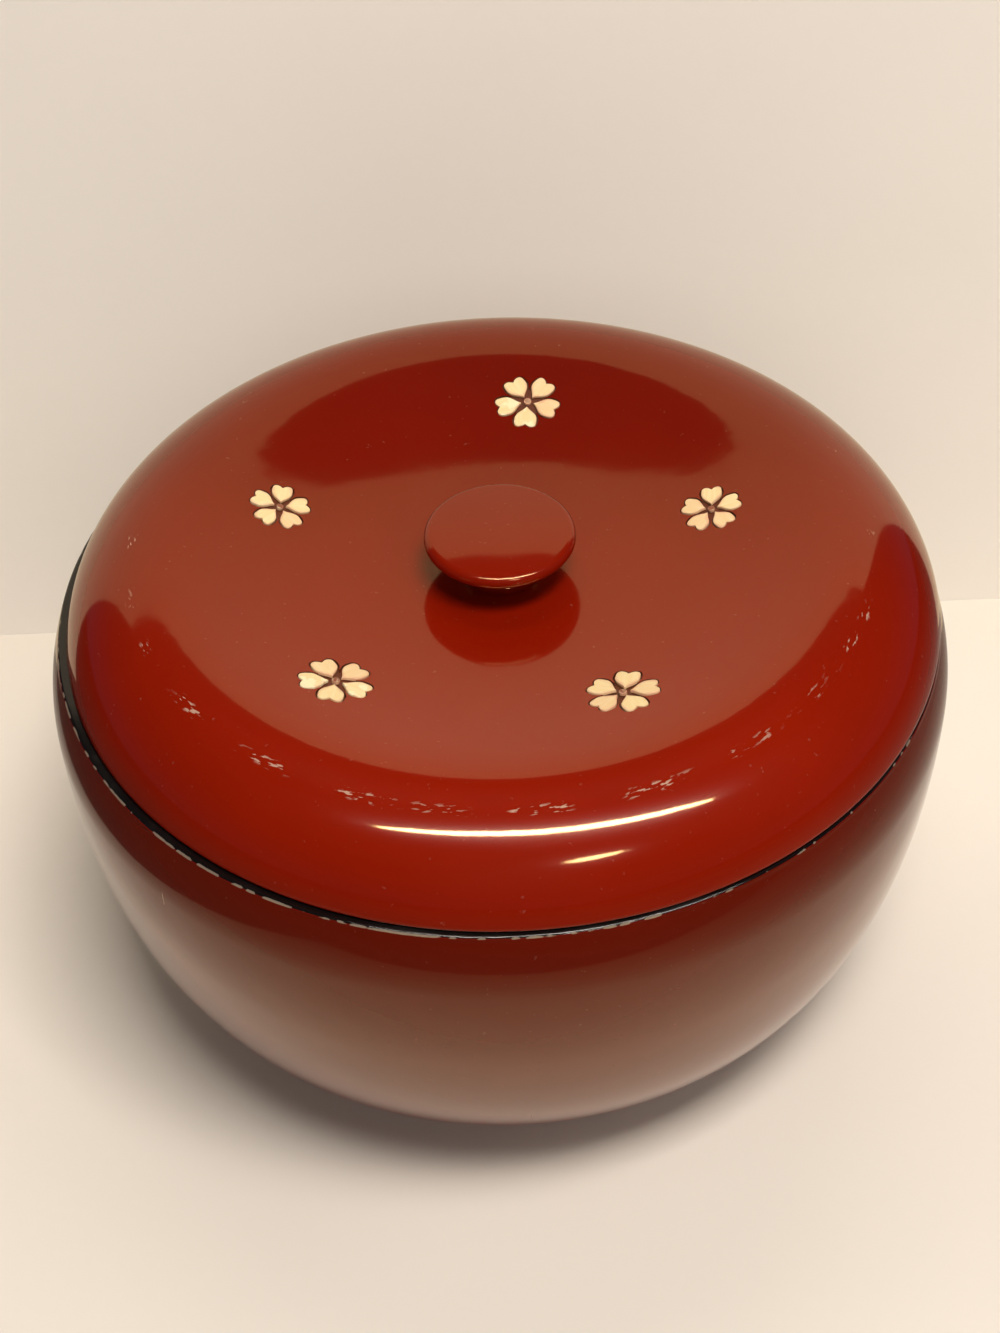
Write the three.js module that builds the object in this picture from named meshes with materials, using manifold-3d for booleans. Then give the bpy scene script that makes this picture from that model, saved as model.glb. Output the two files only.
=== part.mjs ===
// Lidded lacquer serving bowl for cooked rice: a round turned bowl on a low foot ring, a dished lid
// with a mushroom knob, and five cherry blossoms of shell let into pockets in the lid.
// Millimetres, +Z up. The origin is on the table, on the axis of the bowl.

import * as THREE from "three";
import { mergeVertices } from "three/addons/utils/BufferGeometryUtils.js";
import Module from "manifold-3d";

const wasm = await Module();
wasm.setup();

// Bowl.
const BOWL_HEIGHT = 121; // table to the flat rim land
const BOWL_WIDEST_RADIUS = 121;
const BOWL_WIDEST_DROP = 18; // widest circle below the rim land
const RIM_RADIUS = 117.5; // outer edge of the rim land
const RIM_LAND = 7; // width of the flat black rim
const MOUTH_BAND = 6; // straight band inside the mouth
const BOWL_WALL = 5;
const BOWL_FLOOR = 6;
const FOOT_RADIUS = 64;
const FOOT_WIDTH = 7;
const FOOT_RECESS = 4.6; // height of the hollow inside the foot ring
const WALL_FULLNESS = 6; // power of the wall curve: 2 is an ellipse, more is squarer

// Lid.
const LID_INSET = 1.4; // lid edge inside the rim edge
const LID_CREST_HEIGHT = 21.4; // highest ring above the edge
const SHOULDER_WIDTH = 26.4; // edge to crest
const SHOULDER_SINK = 3.8; // centre of the shoulder curve below the edge
const DISH_DEPTH = 11.9; // centre of the lid below the crest
const DISH_POWER = 2.7; // how the dish steepens away from the centre
const DISH_ROLL = 7.8; // how tightly the dish rolls over into the crest
const LID_WALL = 4.5;
const LIP_DEPTH = 7; // locating lip that hangs inside the mouth
const LIP_WIDTH = 3.5;
const LID_PLAY = 1.5; // lip to mouth, all round when centred
const EDGE_ROUND = 0.8; // easing of the rim and lid edges

// Knob.
const KNOB_RADIUS = 20;
const KNOB_EDGE_HEIGHT = 11.8; // widest circle above the centre of the lid
const KNOB_EDGE = 4; // thickness of the rounded edge
const KNOB_DOME = 0.6;
const STEM_RADIUS = 8;
const STEM_FOOT_RADIUS = 10.5;
const STEM_WAIST_HEIGHT = 4.5;
const TENON_RADIUS = 6;

// Shell blossoms.
const PETAL_COUNT = 5;
const PETAL_LENGTH = 9.2; // centre of the blossom to the tip of a lobe
const PETAL_WIDTH = 7;
const PETAL_BASE = 1.9; // centre of the blossom to the pointed base
const PETAL_WIDEST = 6.4; // centre of the blossom to the widest place
const PETAL_NOTCH = 1; // depth of the notch at the tip
const PETAL_LOBE = 1.9; // lobe tip beside the petal's middle line
const EYE_RADIUS = 1.05;
const SHELL_THICKNESS = 0.8;
const SHELL_PROUD = 0.25; // shell above the lacquer at the centre of a blossom
const POCKET_MARGIN = 0.5; // dark line round the shell

// Each blossom is set by hand: its place round the lid, its distance from the axis, its turn.
const BLOSSOMS = [
  { name: "back", angle: 81.7, radius: 65, turn: -35.6 },
  { name: "left", angle: 159.6, radius: 63.1, turn: -1 },
  { name: "front_left", angle: 227.8, radius: 62.6, turn: 33.1 },
  { name: "front_right", angle: 298.2, radius: 60.9, turn: -5.9 },
  { name: "right", angle: 15.3, radius: 59.2, turn: -3.7 },
];

// Clearance between pieces that seat on one another.
const SEAT_GAP = 0.3;

// Facets.
const TURNED_SEGMENTS = 52;
const KNOB_SEGMENTS = 32;
const DISH_SPACING = 1.5; // above 1, the steps of the dish close up towards the crest

// Sizes that follow from those above.
const MOUTH_RADIUS = RIM_RADIUS - RIM_LAND;
const WIDEST_HEIGHT = BOWL_HEIGHT - BOWL_WIDEST_DROP;
const LID_RADIUS = RIM_RADIUS - LID_INSET;
const CREST_RADIUS = LID_RADIUS - SHOULDER_WIDTH;
const LIP_RADIUS = MOUTH_RADIUS - LID_PLAY;
const LID_SHIFT = LID_PLAY - SEAT_GAP; // the lid lies slid to one side, up to the mouth
const LID_CENTRE_HEIGHT = LID_CREST_HEIGHT - DISH_DEPTH;
const SOCKET_RADIUS = TENON_RADIUS + SEAT_GAP;
const POCKET_DEPTH = SHELL_THICKNESS - SHELL_PROUD + SEAT_GAP;

const lacquer = (color) => new THREE.MeshStandardMaterial({ color, roughness: 0.15, metalness: 0 });
const shell = new THREE.MeshStandardMaterial({ color: 0xe9d3a0, roughness: 0.3, metalness: 0 });
const radians = THREE.MathUtils.degToRad;
const point = (r, z) => new THREE.Vector2(r, z);

// Points of a curve given by a function of t from 0 to 1.
function sample(steps, curve) {
  const points = [];
  for (let i = 0; i <= steps; i += 1) {
    points.push(curve(i / steps));
  }
  return points;
}

// A quarter round between two square edges, from one angle to another.
function easing(r, z, from, to) {
  return sample(3, (t) => {
    const a = radians(from + (to - from) * t);
    return point(r + EDGE_ROUND * Math.cos(a), z + EDGE_ROUND * Math.sin(a));
  });
}

// Moves each point of a profile to its right by a distance.
function offset(points, distance) {
  return points.map((p, i) => {
    const before = points[Math.max(i - 1, 0)];
    const after = points[Math.min(i + 1, points.length - 1)];
    const along = after.clone().sub(before).normalize();
    return point(p.x + along.y * distance, p.y - along.x * distance);
  });
}

// One welded body without empty triangles.
function weld(geometry) {
  geometry.deleteAttribute("normal");
  geometry.deleteAttribute("uv");
  const merged = mergeVertices(geometry, 1e-4);
  const index = merged.index.array;
  const kept = [];
  for (let i = 0; i < index.length; i += 3) {
    const [a, b, c] = [index[i], index[i + 1], index[i + 2]];
    if (a !== b && b !== c && c !== a) {
      kept.push(a, b, c);
    }
  }
  merged.setIndex(kept);
  return merged;
}

// A profile of radius and height turned round the Z axis.
function turned(profile, segments) {
  return weld(new THREE.LatheGeometry(profile, segments).rotateX(Math.PI / 2));
}

function toSolid(geometry) {
  const mesh = new wasm.Mesh({
    numProp: 3,
    vertProperties: new Float32Array(geometry.attributes.position.array),
    triVerts: new Uint32Array(geometry.index.array),
  });
  return new wasm.Manifold(mesh);
}

function toGeometry(solid) {
  const mesh = solid.getMesh();
  const geometry = new THREE.BufferGeometry();
  geometry.setAttribute("position", new THREE.BufferAttribute(mesh.vertProperties, 3));
  geometry.setIndex(new THREE.BufferAttribute(mesh.triVerts, 1));
  return geometry;
}

function piece(name, geometry, material) {
  geometry.computeVertexNormals();
  const mesh = new THREE.Mesh(geometry, material);
  mesh.name = name;
  return mesh;
}

// Wall of the bowl below its widest circle, from the widest circle down to a radius.
function wallCurve(radius, drop, endRadius, steps) {
  const end = Math.acos((endRadius / radius) ** (WALL_FULLNESS / 2));
  return sample(steps, (t) => {
    const a = end * t;
    return point(radius * Math.cos(a) ** (2 / WALL_FULLNESS), WIDEST_HEIGHT - drop * Math.sin(a));
  });
}

// Wall of the bowl from the widest circle up and in to a narrower one.
function mouthCurve(radius, endRadius, endHeight) {
  return sample(4, (t) => {
    const z = WIDEST_HEIGHT + (endHeight - WIDEST_HEIGHT) * t;
    return point(radius - (radius - endRadius) * t * t, z);
  });
}

function bowlProfile() {
  const outerDrop = WIDEST_HEIGHT - FOOT_RECESS;
  const innerDrop = outerDrop - BOWL_FLOOR;
  const innerRadius = BOWL_WIDEST_RADIUS - BOWL_WALL;
  const footInner = FOOT_RADIUS - FOOT_WIDTH;
  const rimBase = BOWL_HEIGHT - EDGE_ROUND;
  const outer = wallCurve(BOWL_WIDEST_RADIUS, outerDrop, FOOT_RADIUS, 10).reverse();
  const inner = wallCurve(innerRadius, innerDrop, footInner, 8);
  const innerMouth = mouthCurve(innerRadius, MOUTH_RADIUS, BOWL_HEIGHT - MOUTH_BAND).reverse();
  return [
    point(0, FOOT_RECESS),
    point(footInner, FOOT_RECESS),
    point(footInner, 0),
    point(FOOT_RADIUS, 0),
    ...outer,
    ...mouthCurve(BOWL_WIDEST_RADIUS, RIM_RADIUS, rimBase).slice(1, -1),
    ...easing(RIM_RADIUS - EDGE_ROUND, rimBase, 0, 90),
    ...easing(MOUTH_RADIUS + EDGE_ROUND, rimBase, 90, 180),
    ...innerMouth,
    ...inner.slice(1),
    point(0, FOOT_RECESS + BOWL_FLOOR),
  ];
}

// Height of the top of the lid inside the crest.
function dishHeight(r) {
  const u = r / CREST_RADIUS;
  const roll = DISH_POWER + DISH_ROLL - DISH_POWER * u ** DISH_ROLL;
  const rise = (u ** DISH_POWER * roll) / DISH_ROLL;
  return LID_CENTRE_HEIGHT + DISH_DEPTH * rise;
}

function dishSlope(r) {
  const step = 0.01;
  return Math.atan((dishHeight(r + step) - dishHeight(r - step)) / (2 * step));
}

// Top of the lid from its edge over the crest and down to the socket of the knob.
function lidTop(shoulderSteps, dishSteps) {
  const height = LID_CREST_HEIGHT + SHOULDER_SINK;
  const start = Math.asin((SHOULDER_SINK + EDGE_ROUND) / height);
  const width = SHOULDER_WIDTH / Math.cos(start);
  const shoulder = sample(shoulderSteps, (t) => {
    const a = start + (Math.PI / 2 - start) * t;
    return point(CREST_RADIUS + width * Math.cos(a), height * Math.sin(a) - SHOULDER_SINK);
  });
  const dish = sample(dishSteps, (t) => {
    const r = CREST_RADIUS + (SOCKET_RADIUS - CREST_RADIUS) * t ** DISH_SPACING;
    return point(r, dishHeight(r));
  });
  return [...shoulder, ...dish.slice(1)];
}

function lidProfile() {
  const lipInner = LIP_RADIUS - LIP_WIDTH;
  const under = offset(lidTop(6, 6), -LID_WALL).filter((p) => p.x < lipInner && p.x > SOCKET_RADIUS);
  const lipTop = under[0].y - (lipInner - under[0].x);
  const underCentre = dishHeight(SOCKET_RADIUS) - LID_WALL;
  return [
    point(SOCKET_RADIUS, underCentre),
    ...under.reverse(),
    point(lipInner, lipTop),
    point(lipInner, -LIP_DEPTH),
    point(LIP_RADIUS, -LIP_DEPTH),
    point(LIP_RADIUS, 0),
    ...easing(LID_RADIUS - EDGE_ROUND, EDGE_ROUND, -90, 0).slice(0, -1),
    ...lidTop(8, 8),
    point(SOCKET_RADIUS, underCentre),
  ];
}

// Heights are above the centre of the lid.
function knobProfile() {
  const seat = dishHeight(STEM_FOOT_RADIUS) - LID_CENTRE_HEIGHT + SEAT_GAP;
  const tenonEnd = dishHeight(SOCKET_RADIUS) - LID_CENTRE_HEIGHT - LID_WALL;
  const half = KNOB_EDGE / 2;
  const edgeRadius = KNOB_RADIUS - half;
  const underside = KNOB_EDGE_HEIGHT - half;
  const lower = sample(4, (t) => {
    const a = (Math.PI / 2) * t;
    const r = STEM_FOOT_RADIUS - (STEM_FOOT_RADIUS - STEM_RADIUS) * Math.sin(a);
    return point(r, STEM_WAIST_HEIGHT - (STEM_WAIST_HEIGHT - seat) * Math.cos(a));
  });
  const upper = sample(5, (t) => {
    const a = (Math.PI / 2) * t;
    const r = edgeRadius - (edgeRadius - STEM_RADIUS) * Math.cos(a);
    return point(r, STEM_WAIST_HEIGHT + (underside - STEM_WAIST_HEIGHT) * Math.sin(a));
  });
  const edge = sample(6, (t) => {
    const a = Math.PI * (t - 0.5);
    return point(edgeRadius + half * Math.cos(a), KNOB_EDGE_HEIGHT + half * Math.sin(a));
  });
  const dome = sample(3, (t) => {
    return point(edgeRadius * (1 - t), KNOB_EDGE_HEIGHT + half + KNOB_DOME * (1 - (1 - t) ** 2));
  });
  return [
    point(0, tenonEnd),
    point(TENON_RADIUS, tenonEnd),
    point(TENON_RADIUS, seat),
    ...lower,
    ...upper.slice(1),
    ...edge.slice(1),
    ...dome.slice(1),
  ];
}

// Outline of one heart-shaped petal along +X, grown by a margin all round.
function petalShape(margin) {
  const half = PETAL_WIDTH / 2;
  const notch = PETAL_LENGTH - PETAL_NOTCH;
  const outline = new THREE.Shape();
  outline.moveTo(PETAL_BASE, 0);
  outline.bezierCurveTo(PETAL_BASE + 0.2, -0.9, PETAL_WIDEST - 2.2, -half, PETAL_WIDEST, -half);
  outline.bezierCurveTo(
    PETAL_WIDEST + 1.7, -half, PETAL_LENGTH - 0.1, -PETAL_LOBE - 1.3, PETAL_LENGTH, -PETAL_LOBE);
  outline.bezierCurveTo(
    PETAL_LENGTH + 0.05, 0.8 - PETAL_LOBE, notch + 0.35, -0.35, notch, 0);
  outline.bezierCurveTo(
    notch + 0.35, 0.35, PETAL_LENGTH + 0.05, PETAL_LOBE - 0.8, PETAL_LENGTH, PETAL_LOBE);
  outline.bezierCurveTo(
    PETAL_LENGTH - 0.1, PETAL_LOBE + 1.3, PETAL_WIDEST + 1.7, half, PETAL_WIDEST, half);
  outline.bezierCurveTo(PETAL_WIDEST - 2.2, half, PETAL_BASE + 0.2, 0.9, PETAL_BASE, 0);
  const points = outline.getPoints(3).slice(0, -1);
  const grown = points.map((p, i) => {
    const before = points[(i + points.length - 1) % points.length];
    const after = points[(i + 1) % points.length];
    const along = after.clone().sub(before).normalize();
    return point(p.x + along.y * margin, p.y - along.x * margin);
  });
  return new THREE.Shape(grown);
}

function eyeShape(margin) {
  const outline = new THREE.Shape();
  outline.absarc(0, 0, EYE_RADIUS + margin, 0, 2 * Math.PI);
  return new THREE.Shape(outline.getPoints(6).slice(0, -1));
}

// A flat plate of an outline between two heights.
function plate(shape, bottom, top) {
  const geometry = new THREE.ExtrudeGeometry(shape, { depth: top - bottom, bevelEnabled: false });
  return weld(geometry.translate(0, 0, bottom));
}

// Frame of a blossom: on the lid, square to its surface, turned by hand.
function blossomFrame({ angle, radius, turn }) {
  return new THREE.Matrix4()
    .makeRotationZ(radians(angle))
    .multiply(new THREE.Matrix4().makeTranslation(radius, 0, dishHeight(radius)))
    .multiply(new THREE.Matrix4().makeRotationY(-dishSlope(radius)))
    .multiply(new THREE.Matrix4().makeRotationZ(radians(turn)));
}

const petalTurn = (k) => (2 * Math.PI * k) / PETAL_COUNT;

// The shallow pocket that a blossom is let into.
function pocket(blossom) {
  const above = 3;
  let cut = toSolid(plate(eyeShape(POCKET_MARGIN), -POCKET_DEPTH, above));
  for (let k = 0; k < PETAL_COUNT; k += 1) {
    const petal = plate(petalShape(POCKET_MARGIN), -POCKET_DEPTH, above).rotateZ(petalTurn(k));
    cut = cut.add(toSolid(petal));
  }
  return toSolid(weld(toGeometry(cut).applyMatrix4(blossomFrame(blossom))));
}

function lidGeometry() {
  let solid = toSolid(turned(lidProfile(), TURNED_SEGMENTS));
  for (const blossom of BLOSSOMS) {
    solid = solid.subtract(pocket(blossom));
  }
  return toGeometry(solid);
}

function blossomGroup(blossom) {
  const group = new THREE.Group();
  const bottom = SHELL_PROUD - SHELL_THICKNESS;
  for (let k = 0; k < PETAL_COUNT; k += 1) {
    const name = `${blossom.name}_blossom_petal_${k + 1}`;
    const petal = piece(name, plate(petalShape(0), bottom, SHELL_PROUD), shell);
    petal.rotation.z = petalTurn(k);
    group.add(petal);
  }
  group.add(piece(`${blossom.name}_blossom_eye`, plate(eyeShape(0), bottom, SHELL_PROUD), shell));
  group.applyMatrix4(blossomFrame(blossom));
  return group;
}

const part = new THREE.Group();
part.name = "lacquer_rice_bowl";
part.add(piece("bowl_body", turned(bowlProfile(), TURNED_SEGMENTS), lacquer(0x7a170a)));

const lid = new THREE.Group();
lid.position.set(LID_SHIFT, 0, BOWL_HEIGHT + SEAT_GAP);
lid.add(piece("lid_shell", lidGeometry(), lacquer(0x8a2210)));
const knob = piece("knob", turned(knobProfile(), KNOB_SEGMENTS), lacquer(0x7f1c0c));
knob.position.z = LID_CENTRE_HEIGHT;
lid.add(knob);
for (const blossom of BLOSSOMS) {
  lid.add(blossomGroup(blossom));
}
part.add(lid);

export default part;
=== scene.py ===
"""Looks of a lidded lacquer rice bowl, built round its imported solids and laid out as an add-on."""

import math

import bpy
from bpy.props import FloatProperty, FloatVectorProperty, IntProperty, PointerProperty
from mathutils import Matrix, Vector, noise


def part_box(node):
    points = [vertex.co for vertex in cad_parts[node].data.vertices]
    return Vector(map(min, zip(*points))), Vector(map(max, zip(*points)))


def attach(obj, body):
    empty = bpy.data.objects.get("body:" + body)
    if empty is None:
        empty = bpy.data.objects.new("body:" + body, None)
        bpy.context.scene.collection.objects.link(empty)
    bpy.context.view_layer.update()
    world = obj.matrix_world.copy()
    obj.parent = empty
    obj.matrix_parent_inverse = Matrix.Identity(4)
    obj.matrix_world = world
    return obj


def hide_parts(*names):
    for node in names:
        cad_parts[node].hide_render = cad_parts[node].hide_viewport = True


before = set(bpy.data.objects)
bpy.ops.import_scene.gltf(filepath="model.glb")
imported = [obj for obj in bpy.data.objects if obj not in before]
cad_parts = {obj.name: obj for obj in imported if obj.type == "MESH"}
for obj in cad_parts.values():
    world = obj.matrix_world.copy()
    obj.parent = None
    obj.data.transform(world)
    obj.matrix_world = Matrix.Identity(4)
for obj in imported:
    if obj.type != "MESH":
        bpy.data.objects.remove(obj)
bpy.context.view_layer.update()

bl_info = {
    "name": "Lacquer Rice Bowl",
    "version": (1, 0, 0),
    "blender": (4, 5, 0),
    "location": "View3D > Sidebar > Rice Bowl",
    "description": "A lidded lacquer rice bowl with cherry blossoms of inlaid shell",
    "category": "Add Mesh",
}

MM = 0.001
_, BOWL_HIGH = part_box("bowl_body")
LID_LOW, LID_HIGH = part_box("lid_shell")
KNOB_LOW, KNOB_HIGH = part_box("knob")
LIP_DEPTH = 7 * MM

# Each blossom: name, place round the lid and turn in degrees, distance from the axis, size.
BLOSSOMS = (
    ("back", 81.7, -35.6, 65 * MM, 0.98),
    ("left", 159.6, -1, 63.1 * MM, 0.87),
    ("front_left", 227.8, 33.1, 62.6 * MM, 1.0),
    ("front_right", 298.2, -5.9, 60.9 * MM, 0.98),
    ("right", 15.3, -3.7, 59.2 * MM, 0.87),
)
PETALS = 5
POCKET_STEPS = 360
DISC_STEPS = 32
ROUND_STEPS = 6
# Folds sharper than these angles keep a hard edge.
TURNED_SHARP = math.radians(40)
SHELL_SHARP = math.radians(50)

# Middle of an eased edge, as a share of its rounding.
EDGE_MIDDLE = 0.3
# Close steps of the rim land behind its edge, so that chips can end there.
LAND_STEPS = (0.4 * MM, 0.8 * MM, 1.4 * MM, 2.2 * MM)
# Distance along Y over which the red goes from painted shade, behind, to painted light, in front.
SHADE_BACK, LIGHT_FRONT = 100 * MM, -110 * MM

# Each lamp: name, width and depth, place, aim, whether it only draws a highlight.
LAMP_AIM = (0, 0, 0.13)
LAMPS = (
    ("tube", (0.66, 0.055), (0.089, -0.207, 0.74), (0.089, -0.207, 0), True),
    ("bulb", (0.18, 0.05), (0.247, -0.646, 0.74), LAMP_AIM, True),
    ("key", (0.9, 0.5), (0.33, -0.66, 2.05), LAMP_AIM, False),
    ("right", (0.9, 0.9), (1.0, -0.35, 1.1), LAMP_AIM, False),
    ("front", (0.9, 0.9), (0, -1.3, 1.0), LAMP_AIM, False),
    ("back", (0.9, 0.3), (0, 0.45, 1.3), (0, -0.1, 0), False),
)
# Kinds of rays that can meet a sheet of the stage.
RAYS = ("camera", "diffuse", "glossy", "transmission", "shadow")
# Half width of the wide sheets, the gap between two of them, and where they fade out.
REACH = 6.0
SHEET_GAP = 0.3 * MM
CLEAR_FROM, CLEAR_TO = 0.55, 1.1


# Settings that a user would change.


def length(name, description, default):
    """A length in metres."""
    return FloatProperty(
        name=name, description=description, default=default, min=0.0, unit="LENGTH", precision=5
    )


def power(name, description, default):
    """Power of a lamp in watts."""
    return FloatProperty(name=name, description=description, default=default, min=0.0, unit="POWER")


def number(name, description, default, low=0.0):
    """A plain number."""
    return FloatProperty(name=name, description=description, default=default, min=low, subtype="NONE")


def whole_number(name, description, default):
    """A count of steps."""
    return IntProperty(name=name, description=description, default=default, min=24)


def rotation_angle(name, description, default):
    """An angle in radians."""
    return FloatProperty(name=name, description=description, default=default, unit="ROTATION")


def colour(name, description, default):
    """A colour in linear light."""
    return FloatVectorProperty(
        name=name, description=description, default=default, subtype="COLOR", size=3, min=0.0, max=1.0
    )


class BowlSizes(bpy.types.PropertyGroup):
    """Sizes of the bowl."""

    height: length("Height", "Table to the rim land", BOWL_HIGH.z)
    widest_radius: length("Widest Radius", "Radius of the widest circle", BOWL_HIGH.x)
    widest_drop: length("Widest Drop", "Widest circle below the rim land", 18 * MM)
    rim_radius: length("Rim Radius", "Outer edge of the rim land", 117.5 * MM)
    rim_land: length("Rim Land", "Width of the flat black rim", 7 * MM)
    mouth_band: length("Mouth Band", "Straight band inside the mouth", 6 * MM)
    wall: length("Wall", "Thickness of the wall at the widest circle", 5 * MM)
    floor: length("Floor", "Thickness of the floor", 6 * MM)
    foot_radius: length("Foot Radius", "Outside of the foot ring", 64 * MM)
    foot_width: length("Foot Width", "Width of the foot ring", 7 * MM)
    foot_recess: length("Foot Recess", "Hollow inside the foot ring", 4.6 * MM)
    fullness: number("Fullness", "Squareness of the wall curve", 6.0, 2.0)
    edge_round: length("Edge Round", "Easing of the edges", 0.8 * MM)
    chip_reach: length("Chip Reach", "Width of the worn places on the rim", 0.45 * MM)
    chip_depth: length("Chip Depth", "Depth of the worn places on the rim", 0.15 * MM)
    segments: whole_number("Segments", "Steps round the bowl", 640)


class LidSizes(bpy.types.PropertyGroup):
    """Sizes of the lid."""

    seat_height: length("Seat Height", "Table to the edge of the lid", LID_LOW.z + LIP_DEPTH)
    shift: length("Shift", "How far the lid lies to the right in its play", (LID_LOW.x + LID_HIGH.x) / 2)
    edge_radius: length("Edge Radius", "Outside of the lid", (LID_HIGH.x - LID_LOW.x) / 2)
    crest_height: length("Crest Height", "Highest ring above the edge", LID_HIGH.z - LID_LOW.z - LIP_DEPTH)
    shoulder_width: length("Shoulder Width", "Edge to crest", 26.4 * MM)
    shoulder_sink: length("Shoulder Sink", "Centre of the shoulder curve below the edge", 3.8 * MM)
    dish_depth: length("Dish Depth", "Centre of the lid below the crest", 11.9 * MM)
    dish_power: number("Dish Power", "How the dish steepens", 2.7, 1.0)
    dish_roll: number("Dish Roll", "How tightly the dish rolls over at the crest", 7.8, 1.0)
    wall: length("Wall", "Thickness of the lid", 4.5 * MM)
    lip_depth: length("Lip Depth", "Height of the lip inside the mouth", LIP_DEPTH)
    lip_width: length("Lip Width", "Thickness of the lip", 3.5 * MM)
    lip_radius: length("Lip Radius", "Outside of the lip", 109 * MM)
    socket_radius: length("Socket Radius", "Hole for the tenon of the knob", 6.3 * MM)
    edge_round: length("Edge Round", "Easing of the edge", 0.8 * MM)
    chip_reach: length("Chip Reach", "Width of the worn places on the edge", 0.7 * MM)
    chip_depth: length("Chip Depth", "Depth of the worn places on the edge", 0.05 * MM)
    scuff_ring: length("Scuff Ring", "Scuffs outside the crest", 7.2 * MM)
    scuff_width: length("Scuff Width", "Width of the ring of scuffs", 3.4 * MM)
    segments: whole_number("Segments", "Steps round the lid", 256)


class KnobSizes(bpy.types.PropertyGroup):
    """Sizes of the knob."""

    radius: length("Radius", "Widest circle", (KNOB_HIGH.x - KNOB_LOW.x) / 2)
    edge_height: length("Edge Height", "Widest circle above the centre of the lid", 11.8 * MM)
    edge: length("Edge", "Thickness of the rounded edge", 4 * MM)
    dome: length("Dome", "Rise of the top", 0.6 * MM)
    stem_radius: length("Stem Radius", "Waist of the stem", 8 * MM)
    foot_radius: length("Foot Radius", "Foot of the stem", 10.5 * MM)
    waist_height: length("Waist Height", "Waist above the centre of the lid", 4.5 * MM)
    seat_gap: length("Seat Gap", "Foot of the stem above the lid", 0.3 * MM)
    tenon_radius: length("Tenon Radius", "Peg through the lid", 6 * MM)
    segments: whole_number("Segments", "Steps round the knob", 192)


class BlossomSizes(bpy.types.PropertyGroup):
    """Sizes of the shell blossoms."""

    petal_length: length("Petal Length", "Centre of the blossom to the tip of a lobe", 9.2 * MM)
    petal_width: length("Petal Width", "Widest place of a petal", 6.4 * MM)
    pocket_width: length("Pocket Width", "Widest place of a petal's pocket, without its margin", 7 * MM)
    petal_base: length("Petal Base", "Centre of the blossom to the pointed base", 1.9 * MM)
    petal_widest: length("Petal Widest", "Centre of the blossom to the widest place", 6.4 * MM)
    petal_notch: length("Petal Notch", "Depth of the notch at the tip", 1 * MM)
    petal_lobe: length("Petal Lobe", "Lobe tip beside the middle line", 1.9 * MM)
    eye_radius: length("Eye Radius", "Disc at the centre", 1.05 * MM)
    ground_radius: length("Ground Radius", "Dark ground between the petals, from the centre", 5.0 * MM)
    thickness: length("Thickness", "Thickness of the shell", 0.8 * MM)
    proud: length("Proud", "Shell above the lacquer", 0.25 * MM)
    bed_gap: length("Bed Gap", "Shell above the bottom of its pocket", 0.3 * MM)
    margin: length("Margin", "Dark line round the shell", 0.3 * MM)
    edge_round: length("Edge Round", "Rounding of the shell's edge", 0.12 * MM)
    tilt: rotation_angle("Tilt", "Uneven seating of the petals", 0.02)


class FinishColours(bpy.types.PropertyGroup):
    """Colours of the finishes."""

    # Painted shade and light: one red lacquer, drawn darker at the back and lighter at the front, as the
    # light falls off towards the back.
    red_back_shaded: colour("Back Shaded Red", "Lacquer that has kept its depth, at the back", (0.148, 0.0042, 0.0004))
    red_front_lit: colour("Front Lit Red", "Lacquer that has faded, at the front", (0.262, 0.0094, 0.0009))
    # The bowl's red is the lid's red darkened by this share: partly a darker lacquer, partly painted shade on
    # the bowl's side walls, which take less light from above than the lid.
    bowl_tone_and_shade: number("Bowl Shade", "Red of the bowl against the red of the lid", 0.51)
    lid_ior: number("Lid IOR", "Strength of the mirror images in the lid", 1.6, 1.0)
    bowl_ior: number("Bowl IOR", "Strength of the mirror images in the bowl", 1.9, 1.0)
    gloss: colour("Gloss", "Tint of the mirror images in the red lacquer", (1.0, 0.70, 0.31))
    black: colour("Black", "Lacquer of the rim and the inside", (0.005, 0.004, 0.004))
    core: colour("Core", "Ground that shows where the rim is chipped", (0.21, 0.165, 0.125))
    scuff: colour("Scuff", "Fine scratches in the lacquer", (0.56, 0.36, 0.27))
    bed: colour("Bed", "Ground of the pockets round the shell", (0.080, 0.017, 0.004))
    cream: colour("Cream", "Shell", (0.86, 0.66, 0.34))
    pink: colour("Pink", "Shell at its edges", (0.76, 0.42, 0.25))
    # This pale nacre colour serves the growth lines and also the painted glint.
    pearl_and_glint: colour("Pearl", "Shell where it flashes", (0.94, 0.82, 0.52))
    eye: colour("Eye", "Dull shell at the centre of a blossom", (0.24, 0.060, 0.030))
    floor: colour("Floor", "Floor of the stage", (0.88, 0.82, 0.75))
    board: colour("Board", "Board that the lacquer mirrors", (0.90, 0.79, 0.60))
    backdrop: colour("Backdrop", "Wall behind the bowl", (0.98, 0.92, 0.84))
    # Painted shade: the card is a dark sheet seen only in reflections, standing for the shaded floor in front
    # of and left of the bowl.
    card: colour("Card", "Dark card that the lacquer mirrors", (0.04, 0.033, 0.030))


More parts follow.
